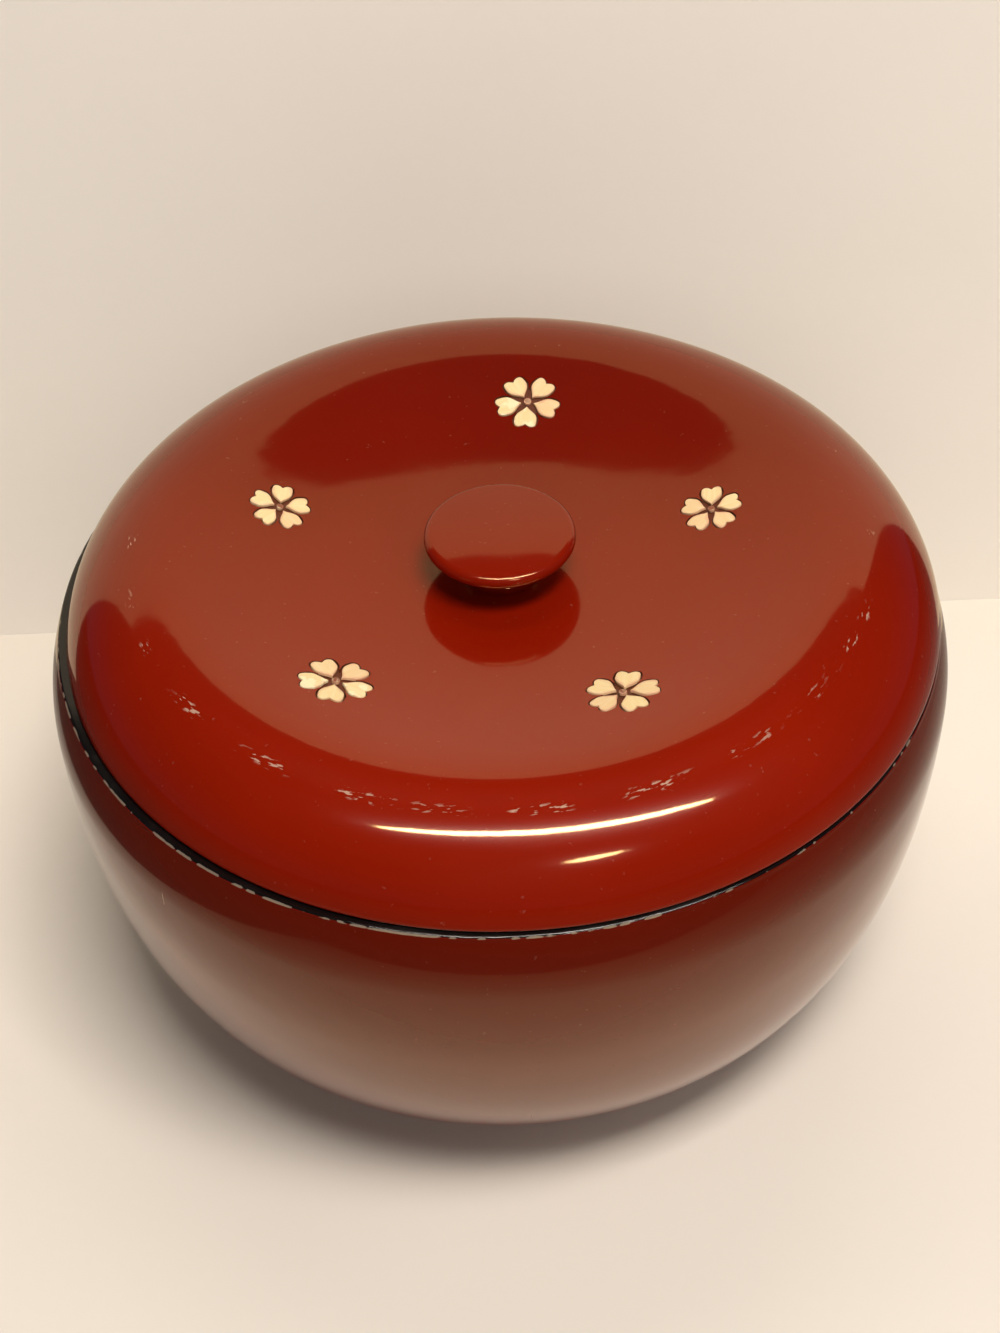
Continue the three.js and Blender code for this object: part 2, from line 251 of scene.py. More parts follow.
class StageSettings(bpy.types.PropertyGroup):
    """Camera, sheets, lamps and room."""

    camera_back: length("Camera Back", "Camera in front of the axis", 439.3 * MM)
    camera_height: length("Camera Height", "Camera above the table", 516.1 * MM)
    camera_pitch: rotation_angle("Camera Pitch", "Downward look", math.radians(43.78))
    camera_roll: rotation_angle("Camera Roll", "Lean of the camera", math.radians(-2.09))
    focal_ratio: number("Focal Ratio", "Focal length over image height", 2200 / 1333)
    card_clear: length("Card Clear", "Distance from the axis at which the dark card starts to show", 0.147)
    card_fade: number("Card Fade", "How fast the dark card thickens", 2.6)
    card_front: length("Card Front", "Solid part of the dark card in front of the axis", 0.31)
    card_left: length("Card Left", "Solid part of the dark card left of the axis", 0.225)
    board_foot: length("Board Foot", "Foot of the leaning board behind the axis", 0.124)
    board_lean: length("Board Lean", "Top of the board behind its foot", 0.094)
    board_height: length("Board Height", "Top of the board above the table", 0.375)
    board_left: length("Board Left", "End of the board left of the axis", 0.31)
    board_right: length("Board Right", "End of the board right of the axis", 0.24)
    key_power: power("Key Power", "Large lamp above the front", 36.5)
    tube_power: power("Tube Power", "Long thin lamp that draws the highlight", 6.0)
    bulb_power: power("Bulb Power", "Small lamp that draws the second highlight", 0.8)
    right_power: power("Right Power", "Soft lamp on the right", 2.6)
    front_power: power("Front Power", "Soft lamp in front", 3.2)
    back_power: power("Back Power", "Soft lamp behind and above", 3.1)
    lamp: colour("Lamp", "Colour of the lamps", (1.0, 0.93, 0.84))
    ceiling: colour("Ceiling", "Dim light from above", (0.02, 0.02, 0.02))
    horizon: colour("Horizon", "Dim light from the sides", (0.03, 0.045, 0.09))
    backdrop: colour("Backdrop", "What the camera sees beyond the floor", (0.80, 0.76, 0.70))


class RiceBowl(bpy.types.PropertyGroup):
    """Everything that can be set."""

    bowl: PointerProperty(type=BowlSizes)
    lid: PointerProperty(type=LidSizes)
    knob: PointerProperty(type=KnobSizes)
    blossom: PointerProperty(type=BlossomSizes)
    colours: PointerProperty(type=FinishColours)
    stage: PointerProperty(type=StageSettings)


# Node trees.


class Value:
    """A socket that works in Python arithmetic: each operation adds a Math node."""

    def __init__(self, recipe, socket):
        self.recipe = recipe
        self.socket = socket

    def __add__(self, other):
        return self.recipe.math("ADD", self, other)

    def __radd__(self, other):
        return self.recipe.math("ADD", other, self)

    def __sub__(self, other):
        return self.recipe.math("SUBTRACT", self, other)

    def __rsub__(self, other):
        return self.recipe.math("SUBTRACT", other, self)

    def __mul__(self, other):
        return self.recipe.math("MULTIPLY", self, other)

    def __rmul__(self, other):
        return self.recipe.math("MULTIPLY", other, self)

    def __truediv__(self, other):
        return self.recipe.math("DIVIDE", self, other)

    def __rtruediv__(self, other):
        return self.recipe.math("DIVIDE", other, self)

    def __mod__(self, other):
        return self.recipe.math("MODULO", self, other)

    def __pow__(self, other):
        return self.recipe.math("POWER", self, other)

    def __lt__(self, other):
        return self.recipe.math("LESS_THAN", self, other)

    def __gt__(self, other):
        return self.recipe.math("GREATER_THAN", self, other)


class Recipe:
    """Adds nodes to a tree."""

    def __init__(self, tree):
        self.tree = tree

    def node(self, kind, settings=None, sockets=None):
        """A node of a type: its settings are set first, then its sockets get values or links."""
        made = self.tree.nodes.new(kind)
        for key, value in (settings or {}).items():
            setattr(made, key, value)
        for key, value in (sockets or {}).items():
            socket = made.inputs[key] if isinstance(key, int) else self.enabled(made.inputs, key)
            if isinstance(value, Value):
                self.tree.links.new(value.socket, socket)
            else:
                socket.default_value = value
        return made

    @staticmethod
    def enabled(sockets, name):
        """The socket of a name that is in use: some names come more than once."""
        return next(s for s in sockets if s.name == name and s.enabled)

    def get(self, kind, output, settings=None, sockets=None):
        """One output of a new node."""
        made = self.node(kind, settings, sockets)
        socket = made.outputs[output] if isinstance(output, int) else self.enabled(made.outputs, output)
        return Value(self, socket)

    def math(self, operation, *operands):
        """The result of a Math node."""
        return self.get("ShaderNodeMath", 0, {"operation": operation}, dict(enumerate(operands)))

    def vector(self, operation, output, *operands):
        """One output of a Vector Math node."""
        return self.get("ShaderNodeVectorMath", output, {"operation": operation}, dict(enumerate(operands)))

    def combine(self, x, y, z):
        """A vector from three numbers."""
        return self.get("ShaderNodeCombineXYZ", 0, None, {"X": x, "Y": y, "Z": z})

    def separate(self, vector):
        """The three numbers of a vector."""
        made = self.node("ShaderNodeSeparateXYZ", None, {0: vector})
        return [Value(self, s) for s in made.outputs]

    def mix(self, factor, first, second):
        """A colour between two colours."""
        rgba = [c if isinstance(c, Value) else (*c, 1.0) for c in (first, second)]
        settings = {"data_type": "RGBA", "clamp_factor": True}
        return self.get("ShaderNodeMix", 2, settings, {0: factor, 6: rgba[0], 7: rgba[1]})

    def ramp(self, value, low, high):
        """0 below low and 1 above high, with a smooth step between."""
        sockets = {"Value": value, "From Min": low, "From Max": high, "To Min": 0.0, "To Max": 1.0}
        return self.get("ShaderNodeMapRange", 0, {"interpolation_type": "SMOOTHSTEP"}, sockets)

    def noise(self, place, scale, detail=2.0, roughness=0.5):
        """Cloudy noise round 0.5."""
        sockets = {"Vector": place, "Scale": scale, "Detail": detail, "Roughness": roughness}
        return self.get("ShaderNodeTexNoise", 0, None, sockets)


class Finish(Recipe):
    """A material with one Principled shader."""

    def __init__(self, name):
        self.material = bpy.data.materials.new(name)
        self.material.use_nodes = True
        super().__init__(self.material.node_tree)
        self.tree.nodes.clear()
        self.shader = self.node("ShaderNodeBsdfPrincipled")
        self.output = self.node("ShaderNodeOutputMaterial")
        self.show(Value(self, self.shader.outputs[0]))
        self.place = self.get("ShaderNodeTexCoord", "Object")

    def show(self, surface):
        """Makes a shader the surface of the material."""
        self.tree.links.new(surface.socket, self.output.inputs["Surface"])

    def attribute(self, name, output="Fac"):
        """A number or a vector that the mesh carries."""
        return self.get("ShaderNodeAttribute", output, {"attribute_name": name})

    def bump(self, height, strength, distance):
        """A normal tilted by a height."""
        sockets = {"Height": height, "Strength": strength, "Distance": distance}
        return self.get("ShaderNodeBump", "Normal", None, sockets)

    def set(self, **sockets):
        """Values or links of the shader, with spaces in socket names written as underscores."""
        for key, value in sockets.items():
            socket = self.shader.inputs[key.replace("_", " ")]
            if isinstance(value, Value):
                self.tree.links.new(value.socket, socket)
            else:
                socket.default_value = value

    def fade(self, share):
        """Makes the surface clear by a share."""
        clear = self.get("ShaderNodeBsdfTransparent", 0)
        surface = Value(self, self.shader.outputs[0])
        self.show(self.get("ShaderNodeMixShader", 0, None, {0: share, 1: surface, 2: clear}))

    def chips(self, low, high):
        """Worn places that the mesh marks, with a ragged outline."""
        ragged = (self.noise(self.place, scale=1400) - 0.5) * 0.5
        return self.ramp(self.attribute("chip") + ragged, low, high)

    def scratches(self, spacing, length, width, share):
        """Sparse short strokes, each at its own angle, about a spacing apart."""
        sockets = {"Vector": self.place, "Scale": 1 / spacing}
        cell = self.node("ShaderNodeTexVoronoi", {"feature": "F1"}, sockets)
        centre = Value(self, cell.outputs["Position"])
        chance, turn, _ = self.separate(Value(self, cell.outputs["Color"]))
        x, y, z = self.separate(self.vector("SUBTRACT", "Vector", self.place, centre))
        angle = turn * math.pi
        cosine, sine = self.math("COSINE", angle), self.math("SINE", angle)
        along = self.math("ABSOLUTE", x * cosine + y * sine)
        across = self.math("ABSOLUTE", y * cosine - x * sine)
        reach = self.math("MAXIMUM", along, self.math("ABSOLUTE", z))
        stroke = 1 - self.ramp(reach, 0.3 * length, 0.5 * length)
        stroke = stroke * (1 - self.ramp(across, 0.2 * width, 0.5 * width))
        return stroke * (chance < share)

    def rest_ring(self, lid):
        """Broken scuffs round the front of the shoulder, where the lid has lain upside down."""
        x, y, z = self.separate(self.place)
        x = x - lid.shift
        radius = self.math("SQRT", x * x + y * y)
        angle = self.math("ARCTAN2", y, x)
        middle, half = crest_radius(lid) + lid.scuff_ring, lid.scuff_width / 2
        band = 1 - self.ramp(self.math("ABSOLUTE", radius - middle), 0.4 * half, half)
        dashes = self.noise(self.combine(angle * 34 + radius * 500, radius * 1100, 0), scale=1.0)
        groups = self.noise(self.combine(angle * 7, 0, 7), scale=1.0, detail=1) - y * 1.2
        marks = self.ramp(dashes, 0.56, 0.63) * self.ramp(groups, 0.55, 0.66)
        return band * marks * (z > lid.seat_height)


def declare(tree, inputs):
    """Gives a geometry tree its sockets and returns its input node."""
    tree.is_modifier = True
    tree.interface.new_socket("Geometry", in_out="INPUT", socket_type="NodeSocketGeometry")
    for name, kind in inputs.items():
        tree.interface.new_socket(name, in_out="INPUT", socket_type=kind)
    tree.interface.new_socket("Geometry", in_out="OUTPUT", socket_type="NodeSocketGeometry")
    return tree.nodes.new("NodeGroupInput")


def turned_form():
    """Geometry tree that turns a profile round Z and gives one stretch of it another finish."""
    tree = bpy.data.node_groups.new("Turned Form", "GeometryNodeTree")
    given = declare(tree, {
        "Segments": "NodeSocketInt",
        "Colour From": "NodeSocketInt",
        "Colour To": "NodeSocketInt",
        "Colour": "NodeSocketMaterial",
        "Lining": "NodeSocketMaterial",
    })
    r = Recipe(tree)
    profile, segments, first, last, outside, lining = [Value(r, s) for s in given.outputs[:6]]
    kind = {"component": "MESH"}
    count = r.get("GeometryNodeAttributeDomainSize", "Point Count", kind, {"Geometry": profile})
    grid = r.get("GeometryNodeMeshGrid", "Mesh", None, {"Vertices X": segments + 1, "Vertices Y": count})
    index = r.get("GeometryNodeInputIndex", 0)
    angle = r.math("FLOOR", index / count) * (2 * math.pi) / segments
    point = r.get("GeometryNodeSampleIndex", 0, {"data_type": "FLOAT_VECTOR"}, {
        "Geometry": profile, "Value": r.get("GeometryNodeInputPosition", 0), "Index": index % count})
    radius, _, height = r.separate(point)
    place = r.combine(radius * r.math("COSINE", angle), radius * r.math("SINE", angle), height)
    form = r.get("GeometryNodeSetPosition", 0, None, {"Geometry": grid, "Position": place})
    step = index % (count - 1)
    coloured = (step > first - 0.5) * (step < last - 0.5)
    form = r.get("GeometryNodeSetMaterial", 0, None, {"Geometry": form, "Material": lining})
    form = r.get("GeometryNodeSetMaterial", 0, None, {
        "Geometry": form, "Selection": coloured, "Material": outside})
    form = r.get("GeometryNodeMergeByDistance", 0, None, {"Geometry": form, "Distance": 1e-6})
    form = r.get("GeometryNodeSetShadeSmooth", 0, None, {"Geometry": form, "Shade Smooth": True})
    r.node("NodeGroupOutput", None, {0: r.get("GeometryNodeRealizeInstances", 0, None, {"Geometry": form})})
    return tree


def shell_ring():
    """Geometry tree that sets like pieces of shell in a ring and lays the ring on the lid."""
    tree = bpy.data.node_groups.new("Shell Ring", "GeometryNodeTree")
    given = declare(tree, {
        "Count": "NodeSocketInt",
        "Tilt": "NodeSocketFloat",
        "Seed": "NodeSocketInt",
        "Place": "NodeSocketVector",
        "Turn": "NodeSocketVector",
        "Shell": "NodeSocketMaterial",
    })
    r = Recipe(tree)
    piece, count, tilt, seed, place, turn, shell = [Value(r, s) for s in given.outputs[:7]]
    piece = r.get("GeometryNodeMergeByDistance", 0, None, {"Geometry": piece, "Distance": 1e-6})
    marked = r.get("GeometryNodeStoreNamedAttribute", 0, {"data_type": "FLOAT_VECTOR", "domain": "POINT"}, {
        "Geometry": piece, "Name": "shell_place", "Value": r.get("GeometryNodeInputPosition", 0)})
    points = r.get("GeometryNodePoints", 0, None, {"Count": count})
    index = r.get("GeometryNodeInputIndex", 0)
    lean = r.get("FunctionNodeRandomValue", "Value", {"data_type": "FLOAT_VECTOR"}, {
        "Min": (-1.0, -1.0, 0.0), "Max": (1.0, 1.0, 0.0), "Seed": seed})
    lean_x, lean_y, _ = r.separate(lean)
    angles = r.combine(lean_x * tilt, lean_y * tilt, index * (2 * math.pi) / count)
    rotation = r.get("FunctionNodeEulerToRotation", 0, None, {0: angles})
    ring = r.get("GeometryNodeInstanceOnPoints", 0, None, {
        "Points": points, "Instance": marked, "Rotation": rotation})
    tint = r.get("FunctionNodeRandomValue", "Value", {"data_type": "FLOAT"}, {"Seed": seed + 7})
    ring = r.get("GeometryNodeStoreNamedAttribute", 0, {"data_type": "FLOAT", "domain": "INSTANCE"}, {
        "Geometry": ring, "Name": "shell_tint", "Value": tint})
    ring = r.get("GeometryNodeRealizeInstances", 0, None, {"Geometry": ring})
    ring = r.get("GeometryNodeTransform", 0, None, {"Geometry": ring, "Translation": place, "Rotation": turn})
    ring = r.get("GeometryNodeSetShadeSmooth", 0, None, {"Geometry": ring, "Shade Smooth": True})
    r.node("NodeGroupOutput", None, {
        0: r.get("GeometryNodeSetMaterial", 0, None, {"Geometry": ring, "Material": shell})})
    return tree


def once(collection, name, make):
    """The data block of a name, made on first use."""
    return collection.get(name) or make()


# Finishes.


def red_lacquer(name, colours, lid, shade, ior):
    """Deep vermilion lacquer: clouded, with painted shade at the back and painted light at the front, hard
    gloss, faint ripple, fine scratches, chips at the rim.
    """
    f = Finish(name)
    deep, pale = (tuple(shade * c for c in red) for red in (colours.red_back_shaded, colours.red_front_lit))
    scuff = tuple(colours.scuff)
    _, y, _ = f.separate(f.place)
    clouds = (f.noise(f.place, scale=16, detail=3) - 0.5) * 0.45
    speck = f.ramp(f.noise(f.place, scale=650), 0.70, 0.78)
    strokes = f.scratches(spacing=45 * MM, length=6 * MM, width=0.4 * MM, share=0.22)
    scratch = f.math("MAXIMUM", strokes, f.rest_ring(lid))
    chip = f.chips(0.40, 0.55)
    smear = f.noise(f.place, scale=22, detail=4, roughness=0.65)
    ripple = f.noise(f.place, scale=90, detail=1) + f.noise(f.place, scale=320, detail=1) * 0.15
    # Painted shade and light: the red darkens towards the back and lightens towards the front.
    base = f.mix(f.ramp(y, SHADE_BACK, LIGHT_FRONT) + clouds, deep, pale)
    base = f.mix(speck * 0.10, base, scuff)
    base = f.mix(scratch * 0.8, base, scuff)
    f.set(
        Base_Color=f.mix(chip, base, tuple(colours.core)),
        Roughness=0.035 + smear * 0.06 + scratch * 0.25 + chip * 0.5,
        IOR=ior,
        Specular_Tint=(*colours.gloss, 1.0),
        Coat_Weight=0.15,
        Coat_Roughness=0.22,
        Normal=f.bump(ripple, strength=0.10, distance=0.4 * MM),
    )
    return f.material


def black_lacquer(name, colours):
    """Black lacquer of the rim, the inside and the underside, rubbed dull in places."""
    f = Finish(name)
    rubbed = f.ramp(f.noise(f.place, scale=45, detail=4, roughness=0.6), 0.45, 0.75)
    scratch = f.scratches(spacing=22 * MM, length=12 * MM, width=0.3 * MM, share=0.35)
    chip = f.chips(0.45, 0.60)
    dull = tuple(0.02 + c for c in colours.black)
    base = f.mix(rubbed * 0.35, tuple(colours.black), dull)
    base = f.mix(scratch * 0.12, base, tuple(colours.scuff))
    f.set(
        Base_Color=f.mix(chip, base, tuple(colours.core)),
        Roughness=0.10 + rubbed * 0.16 + chip * 0.5,
        IOR=1.5,
        Normal=f.bump(f.noise(f.place, scale=120), strength=0.10, distance=0.3 * MM),
    )
    return f.material


def pocket_bed(name, colours):
    """Dark filling round the shell, slightly grainy."""
    f = Finish(name)
    grain = f.noise(f.place, scale=2500, detail=3)
    pale = tuple(2.2 * c for c in colours.bed)
    f.set(
        Base_Color=f.mix(f.ramp(grain, 0.3, 0.8), tuple(colours.bed), pale),
        Roughness=0.35 + grain * 0.3,
        Normal=f.bump(grain, strength=0.3, distance=0.1 * MM),
    )
    return f.material


def shell(name, colours, body):
    """Shell of a body colour: growth lines along each petal, pink edges, and pale patches on some petals as a
    painted glint.
    """
    f = Finish(name)
    along, across, _ = f.separate(f.attribute("shell_place", "Vector"))
    edge = f.attribute("shell_edge")
    tint = f.attribute("shell_tint")
    growth = f.noise(f.combine(along * 160, across * 900, tint * 40), scale=1.0, detail=3)
    patches = f.noise(f.combine(along * 300, across * 300, tint * 90), scale=1.0)
    blush = f.ramp(tint, 0.55, 0.85) * 0.3 + f.ramp(edge * 0.75 + patches * 0.5, 0.80, 1.05) * 0.7
    # Painted glint: pale patches on some petals stand for light shining off the nacre.
    painted_glint = f.ramp(tint, 0.30, 0.10) * f.ramp(patches, 0.50, 0.58)
    base = f.mix(f.ramp(growth, 0.40, 0.70) * 0.35, tuple(body), tuple(colours.pearl_and_glint))
    base = f.mix(blush, base, tuple(colours.pink))
    f.set(
        Base_Color=f.mix(painted_glint * 0.9, base, tuple(colours.pearl_and_glint)),
        Roughness=0.16 + growth * 0.16,
        IOR=1.38,
        Normal=f.bump(growth, strength=0.25, distance=0.08 * MM),
    )
    return f.material


def stage_sheet(name, pale):
    """Matt sheet of the stage with a faint mottle, clear from behind and far from the bowl."""
    f = Finish(name)
    fibre = f.noise(f.place, scale=240, detail=4)
    tone = f.noise(f.place, scale=5, detail=3)
    mottle = f.ramp(tone, 0.3, 0.7) * 0.5 + fibre * 0.2
    f.set(
        Base_Color=f.mix(mottle, tuple(pale), tuple(0.94 * c for c in pale)),
        Roughness=0.75,
        Normal=f.bump(fibre, strength=0.08, distance=0.4 * MM),
    )
    far = f.ramp(f.vector("LENGTH", "Value", f.place), CLEAR_FROM, CLEAR_TO)
    f.fade(f.math("MAXIMUM", far, f.get("ShaderNodeNewGeometry", "Backfacing")))
    return f.material


def shade_card(name, colours, stage):
    """Dark card of painted shade, seen only in reflections: clear near the bowl and thickening outward to its
    solid front and left parts.
    """
    f = Finish(name)
    x, y, _ = f.separate(f.place)
    distance = f.math("SQRT", x * x + y * y)
    grain = f.noise(f.place, scale=240, detail=4)
    f.set(
        Base_Color=f.mix(grain, tuple(colours.card), tuple(0.8 * c for c in colours.card)),
        Roughness=0.8,
    )
    clear = f.math("MINIMUM", (stage.card_clear / distance) ** stage.card_fade, 1.0)
    f.fade(clear * (x > -stage.card_left) * (y > -stage.card_front))
    return f.material


def finish(name, scene):
    """The material of a name."""
    colours, lid = scene.rice_bowl.colours, scene.rice_bowl.lid
    makers = {
        "lid_lacquer": lambda: red_lacquer(name, colours, lid, 1.0, colours.lid_ior),
        # The bowl's red is darkened: partly its own darker lacquer, partly painted shade.
        "bowl_lacquer": lambda: red_lacquer(name, colours, lid, colours.bowl_tone_and_shade, colours.bowl_ior),
        "black_lacquer": lambda: black_lacquer(name, colours),
        "pocket_bed": lambda: pocket_bed(name, colours),
        "shell_inlay": lambda: shell(name, colours, colours.cream),
        "eye_inlay": lambda: shell(name, colours, colours.eye),
        "floor": lambda: stage_sheet(name, colours.floor),
        "card": lambda: shade_card(name, colours, scene.rice_bowl.stage),
        "board": lambda: stage_sheet(name, colours.board),
        "backdrop": lambda: stage_sheet(name, colours.backdrop),
    }
    return once(bpy.data.materials, name, makers[name])


# Shapes.


def sample(steps, curve):
    """Points of a curve given by a function of t from 0 to 1."""
    return [curve(i / steps) for i in range(steps + 1)]


def quarter_round(r, z, radius, start, end):
    """An eased corner round a centre, between two angles in degrees."""

    def at(t):
        a = math.radians(start + (end - start) * t)
        return (r + radius * math.cos(a), z + radius * math.sin(a))

    return sample(ROUND_STEPS, at)


def wall_curve(bowl, radius, drop, end_radius, steps):
    """Wall of the bowl from the widest circle down to a radius."""
    end = math.acos((end_radius / radius) ** (bowl.fullness / 2))
    top = bowl.height - bowl.widest_drop

    def at(t):
        return (radius * math.cos(end * t) ** (2 / bowl.fullness), top - drop * math.sin(end * t))

    return sample(steps, at)


def mouth_curve(bowl, radius, end_radius, end_height):
    """Wall of the bowl from the widest circle up and in to a narrower one."""
    low = bowl.height - bowl.widest_drop
    return sample(20, lambda t: (radius - (radius - end_radius) * t * t, low + (end_height - low) * t))


def bowl_profile(bowl):
    """Profile of the bowl, with the steps between which it is red."""
    e = bowl.edge_round
    outer_drop = bowl.height - bowl.widest_drop - bowl.foot_recess
    inner_radius = bowl.widest_radius - bowl.wall
    foot_inner = bowl.foot_radius - bowl.foot_width
    mouth = bowl.rim_radius - bowl.rim_land
    rim_base = bowl.height - e
    land = [(bowl.rim_radius - e - step, bowl.height) for step in LAND_STEPS]
    foot = [
        (0, bowl.foot_recess),
        (foot_inner, bowl.foot_recess),
        *quarter_round(foot_inner + e, e, e, 180, 270),
        *quarter_round(bowl.foot_radius - e, e, e, -90, 0),
    ]
    outside = [
        *reversed(wall_curve(bowl, bowl.widest_radius, outer_drop, bowl.foot_radius, 44)),
        *mouth_curve(bowl, bowl.widest_radius, bowl.rim_radius, rim_base)[1:-1],
    ]
    arris = quarter_round(bowl.rim_radius - e, rim_base, e, 0, 90)
    inside = [
        *reversed(mouth_curve(bowl, inner_radius, mouth, bowl.height - bowl.mouth_band)),
        *wall_curve(bowl, inner_radius, outer_drop - bowl.floor, foot_inner, 30)[1:],
        (0, bowl.foot_recess + bowl.floor),
    ]
    points = [*foot, *outside, *arris, *land, *quarter_round(mouth + e, rim_base, e, 90, 180), *inside]
    return points, len(foot) - 1, len(foot) + len(outside) + len(arris) // 2


def crest_radius(lid):
    """Radius of the highest ring of the lid."""
    return lid.edge_radius - lid.shoulder_width


def dish_height(lid, r):
    """Top of the lid inside the crest, above its edge."""
    u = r / crest_radius(lid)
    power, roll = lid.dish_power, lid.dish_roll
    rise = u**power * (power + roll - power * u**roll) / roll
    return lid.crest_height - lid.dish_depth * (1 - rise)


def dish_slope(lid, r):
    """Angle of the dish outward from the axis."""
    step = 0.01 * MM
    return math.atan((dish_height(lid, r + step) - dish_height(lid, r - step)) / (2 * step))


def shoulder_axes(lid):
    """Half width and half height of the shoulder's curve, and the angle where it starts."""
    height = lid.crest_height + lid.shoulder_sink
    start = math.asin((lid.shoulder_sink + lid.edge_round) / height)
    return lid.shoulder_width / math.cos(start), height, start


def lid_top(lid, shoulder_steps, dish_steps):
    """Top of the lid from its edge over the crest and down to the socket of the knob."""
    crest = crest_radius(lid)
    width, height, start = shoulder_axes(lid)

    def shoulder(t):
        a = start + (math.pi / 2 - start) * t
        return (crest + width * math.cos(a), height * math.sin(a) - lid.shoulder_sink)

    def dish(t):
        r = crest + (lid.socket_radius - crest) * t
        return (r, dish_height(lid, r))

    return sample(shoulder_steps, shoulder) + sample(dish_steps, dish)[1:]


def lowered(points, distance):
    """A profile moved square to itself, to the left of its way."""
    moved = []
    for i, (r, z) in enumerate(points):
        before = Vector(points[max(i - 1, 0)])
        along = (Vector(points[min(i + 1, len(points) - 1)]) - before).normalized()
        moved.append((r - along.y * distance, z + along.x * distance))
    return moved


def lid_profile(lid):
    """Profile of the lid above the edge of the lid, with the steps between which it is red."""
    e = lid.edge_round
    lip_inner = lid.lip_radius - lid.lip_width
    under = [p for p in lowered(lid_top(lid, 40, 50), lid.wall) if lid.socket_radius < p[0] < lip_inner]
    under_centre = (lid.socket_radius, dish_height(lid, lid.socket_radius) - lid.wall)
    below = [
        under_centre,
        *reversed(under),
        (lip_inner, under[0][1] - (lip_inner - under[0][0])),
        *quarter_round(lip_inner + e, e - lid.lip_depth, e, 180, 270),
        *quarter_round(lid.lip_radius - e, e - lid.lip_depth, e, 270, 360),
        (lid.lip_radius, 0),
    ]
    edge = quarter_round(lid.edge_radius - e, e, e, -90, 0)[:-1]
    points = [*below, *edge, *lid_top(lid, 48, 60), under_centre]
    return points, len(below), len(points) - 2


def knob_profile(knob, lid):
    """Profile of the knob above the centre of the lid."""
    centre = dish_height(lid, 0)
    seat = dish_height(lid, knob.foot_radius) - centre + knob.seat_gap
    tenon_end = dish_height(lid, lid.socket_radius) - centre - lid.wall
    half = knob.edge / 2
    rim = knob.radius - half
    under = knob.edge_height - half

    def foot(t):
        a = math.pi / 2 * t
        r = knob.foot_radius - (knob.foot_radius - knob.stem_radius) * math.sin(a)
        return (r, knob.waist_height - (knob.waist_height - seat) * math.cos(a))

    def neck(t):
        a = math.pi / 2 * t
        r = rim - (rim - knob.stem_radius) * math.cos(a)
        return (r, knob.waist_height + (under - knob.waist_height) * math.sin(a))

    def edge(t):
        a = math.pi * (t - 0.5)
        return (rim + half * math.cos(a), knob.edge_height + half * math.sin(a))

    def dome(t):
        return (rim * (1 - t), knob.edge_height + half + knob.dome * (1 - (1 - t) ** 2))

    tenon = [(0, tenon_end), (knob.tenon_radius, tenon_end), (knob.tenon_radius, seat)]
    upper = [point for curve in (neck, edge, dome) for point in sample(24, curve)[1:]]
    points = [*tenon, *sample(12, foot), *upper]
    return points, 0, len(points) - 1


def petal_outline(sizes, size, width, margin=0.0):
    """Outline of one heart-shaped petal of a width along +X, scaled to a size and grown by a margin."""
    half = width / 2
    notch = sizes.petal_length - sizes.petal_notch
    base, wide, tip, lobe = sizes.petal_base, sizes.petal_widest, sizes.petal_length, sizes.petal_lobe
    # One side of the petal: base to widest place, on to the tip of the lobe, back into the notch.
    curves = (
        ((base, 0), (base + 1.5 * MM, 0.8 * MM), (wide - 2.1 * MM, half), (wide, half)),
        ((wide, half), (wide + 1.7 * MM, half), (tip - 0.1 * MM, lobe + 1.3 * MM), (tip, lobe)),
        ((tip, lobe), (tip + 0.05 * MM, lobe - 0.8 * MM), (notch + 0.35 * MM, 0.35 * MM), (notch, 0)),
    )

    def bezier(points, t):
        weights = ((1 - t) ** 3, 3 * (1 - t) ** 2 * t, 3 * (1 - t) * t * t, t**3)
        return tuple(sum(w * p[axis] for w, p in zip(weights, points)) for axis in (0, 1))

    side = [p for c in curves for p in sample(9, lambda t: bezier(c, t))[:-1]] + [(notch, 0)]
    side = [(x * size, y * size) for x, y in side]
    outline = [(x, -y) for x, y in side] + side[-2:0:-1]
    grown = []
    for i, (x, y) in enumerate(outline):
        before = Vector(outline[i - 1])
        along = (Vector(outline[(i + 1) % len(outline)]) - before).normalized()
        grown.append((x + along.y * margin, y - along.x * margin))
    return grown


def disc_outline(radius):
    """Outline of a disc."""
    angles = [math.tau * i / DISC_STEPS for i in range(DISC_STEPS)]
    return [(radius * math.cos(a), radius * math.sin(a)) for a in angles]


def pocket_outline(sizes, size):
    """Outline of a blossom's pocket: round the petals with their margin and the ground between them."""
    petal = [Vector(p) for p in petal_outline(sizes, size, sizes.pocket_width, sizes.margin)]
    turn = math.tau / PETALS
    outline = []
    for step in range(POCKET_STEPS):
        angle = math.tau * step / POCKET_STEPS
        off = (angle + turn / 2) % turn - turn / 2
        way = Vector((math.cos(off), math.sin(off)))
        reach = sizes.ground_radius * size
        for i, end in enumerate(petal):
            start = petal[i - 1]
            before, after = start.cross(way), end.cross(way)
            if before * after < 0:
                crossing = start.lerp(end, before / (before - after))
                reach = max(reach, crossing.dot(way))
        outline.append((reach * math.cos(angle), reach * math.sin(angle)))
    return outline


